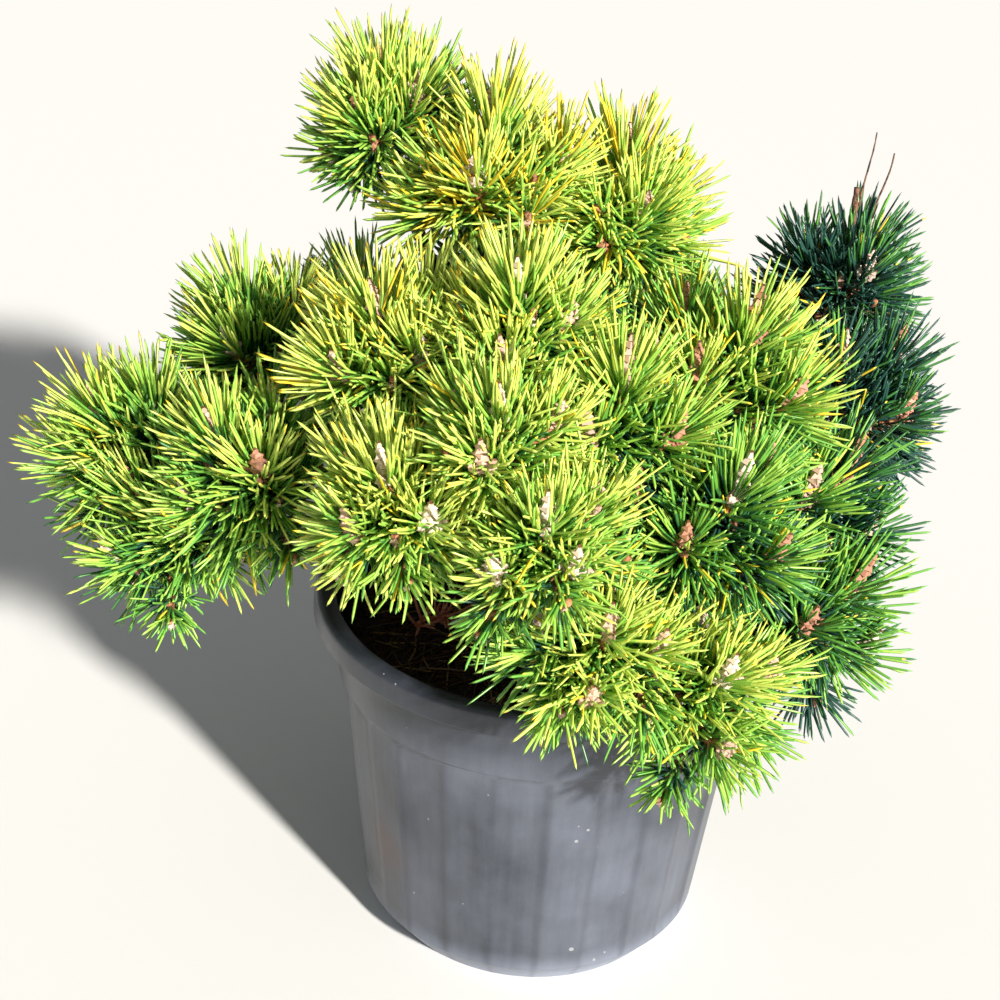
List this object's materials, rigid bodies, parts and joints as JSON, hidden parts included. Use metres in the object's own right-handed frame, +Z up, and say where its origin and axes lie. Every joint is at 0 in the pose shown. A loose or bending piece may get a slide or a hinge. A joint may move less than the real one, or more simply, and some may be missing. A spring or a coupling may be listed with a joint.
{
  "type": "potted dwarf mountain pine",
  "caption": "Bushy dwarf mountain pine with bristling upright shoots, growing in a black plastic nursery container with a wide lip.",
  "frame": {"origin": "centre of the container's flat underside", "axes": "+Z up the container's axis; the picture was taken from the -Y side, and the crown's long side lies along X"},
  "size_m": [0.5804, 0.4875, 0.5349],
  "materials": {
    "pot_plastic": "moulded black polythene with a blue-grey sheen, a dusty foot and fine scuffs",
    "compost": "dark moist peat with dry needle litter",
    "bark": "scaly grey-brown bark, orange-brown where young",
    "needles": "stiff green needles, yellow-green in the sun, with golden tips and pale resinous buds"
  },
  "bodies": {
    "root": {"pot": "pot_plastic", "compost": "compost", "trunk": "bark", "bough_left_far": "bark", "bough_low_left": "bark", "bough_low_mid": "bark", "bough_low_right": "bark", "bough_right_far": "bark", "bough_back_left": "bark", "bough_back_low": "bark", "bough_top_left": "bark", "bough_top_right": "bark", "bough_crown_mid": "bark", "bough_back_top": "bark", "bough_right_heart": "bark", "bough_left_mid": "bark", "bough_centre": "bark", "bough_low_front": "bark", "bough_left_near": "bark", "bough_left_low": "bark", "bough_left_back": "bark", "bough_mid_right": "bark", "bough_right_skirt": "bark", "bough_right_mid": "bark", "bough_right_low": "bark", "bough_right_back": "bark", "bough_back_mid": "bark", "bough_back_right": "bark", "needles_top": "needles", "needles_left_far": "needles", "needles_low_left": "needles", "needles_low_mid": "needles", "needles_low_right": "needles", "needles_right_far": "needles", "needles_back_left": "needles", "needles_back_low": "needles", "needles_top_left": "needles", "needles_top_right": "needles", "needles_crown_mid": "needles", "needles_back_top": "needles", "needles_right_heart": "needles", "needles_left_mid": "needles", "needles_centre": "needles", "needles_low_front": "needles", "needles_left_near": "needles", "needles_left_low": "needles", "needles_left_back": "needles", "needles_mid_right": "needles", "needles_right_skirt": "needles", "needles_right_mid": "needles", "needles_right_low": "needles", "needles_right_back": "needles", "needles_back_mid": "needles", "needles_back_right": "needles"}
  },
  "joints": []
}
